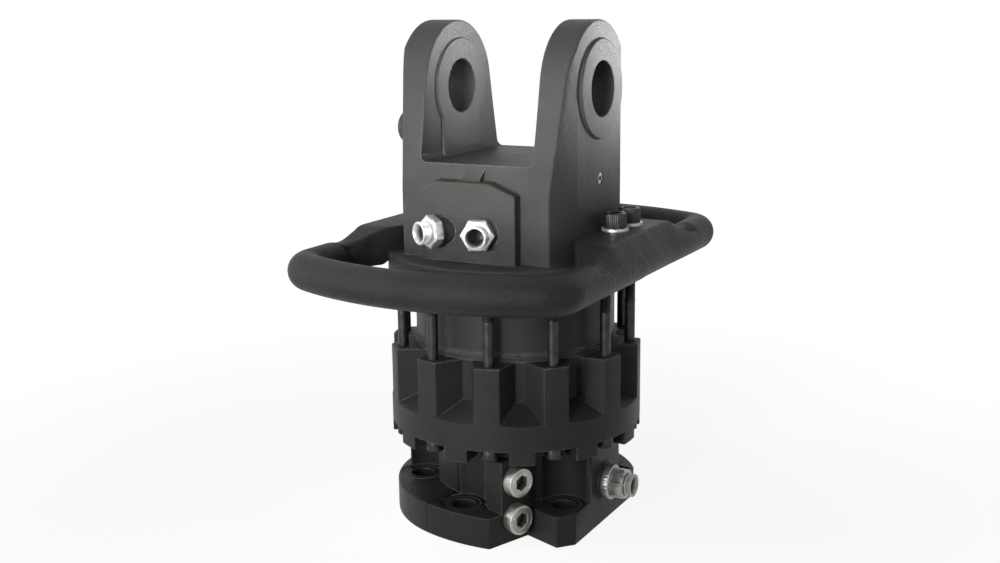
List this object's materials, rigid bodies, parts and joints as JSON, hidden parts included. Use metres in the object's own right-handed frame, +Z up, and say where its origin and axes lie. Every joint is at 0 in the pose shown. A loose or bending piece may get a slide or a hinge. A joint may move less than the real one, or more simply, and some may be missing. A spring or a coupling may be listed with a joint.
{
  "type": "hydraulic grapple rotator",
  "caption": "Hydraulic rotator with a clevis head, oil port fittings, a guard ring, a bolted crown housing and a turning flange for a grapple.",
  "frame": {"origin": "on the turning axis at the seat of the grapple flange", "axes": "+Z up along the turning axis towards the clevis, +X along the crane pin, -Y towards the two oil port fittings"},
  "size_m": [0.29, 0.434, 0.4728],
  "materials": {
    "cast_black": "cast iron, satin black paint",
    "guard_black": "cast guard, satin black paint",
    "ring_black": "turned steel, satin black paint",
    "bright_zinc": "bright zinc plating",
    "yellow_zinc": "pale yellow zinc plating",
    "black_screw": "black oxide, lightly oiled",
    "dark_steel": "ground steel",
    "bronze": "machined bronze",
    "seal_rubber": "black seal"
  },
  "bodies": {
    "stator": {"head_casting": "cast_black", "cross_drilling_plug": "dark_steel", "port_fitting_left": "bright_zinc", "port_fitting_right": "bright_zinc", "port_seals": "seal_rubber", "guard_ring": "guard_black", "guard_washers": "bright_zinc", "guard_screws": "black_screw", "cam_ring": "ring_black", "crown_housing": "cast_black", "long_bolts": "black_screw", "lower_bush": "bronze", "upper_bush": "bronze", "dust_seal": "seal_rubber", "thrust_washer_lower": "bronze", "thrust_washer_upper": "dark_steel", "swivel_seals": "seal_rubber"},
    "rotor": {"rotor_flange": "cast_black", "flange_plug_upper": "yellow_zinc", "flange_plug_lower": "yellow_zinc", "outlet_adapter_front": "yellow_zinc", "outlet_adapter_rear": "yellow_zinc", "vane_1": "dark_steel", "vane_2": "dark_steel", "vane_3": "dark_steel", "vane_4": "dark_steel", "vane_5": "dark_steel", "vane_6": "dark_steel", "vane_7": "dark_steel", "vane_8": "dark_steel"}
  },
  "joints": [
    {"name": "rotation", "type": "hinge", "parent": "stator", "child": "rotor", "pos_m": [0, 0, 0.08], "axis": [0, 0, 1], "continuous": true}
  ]
}
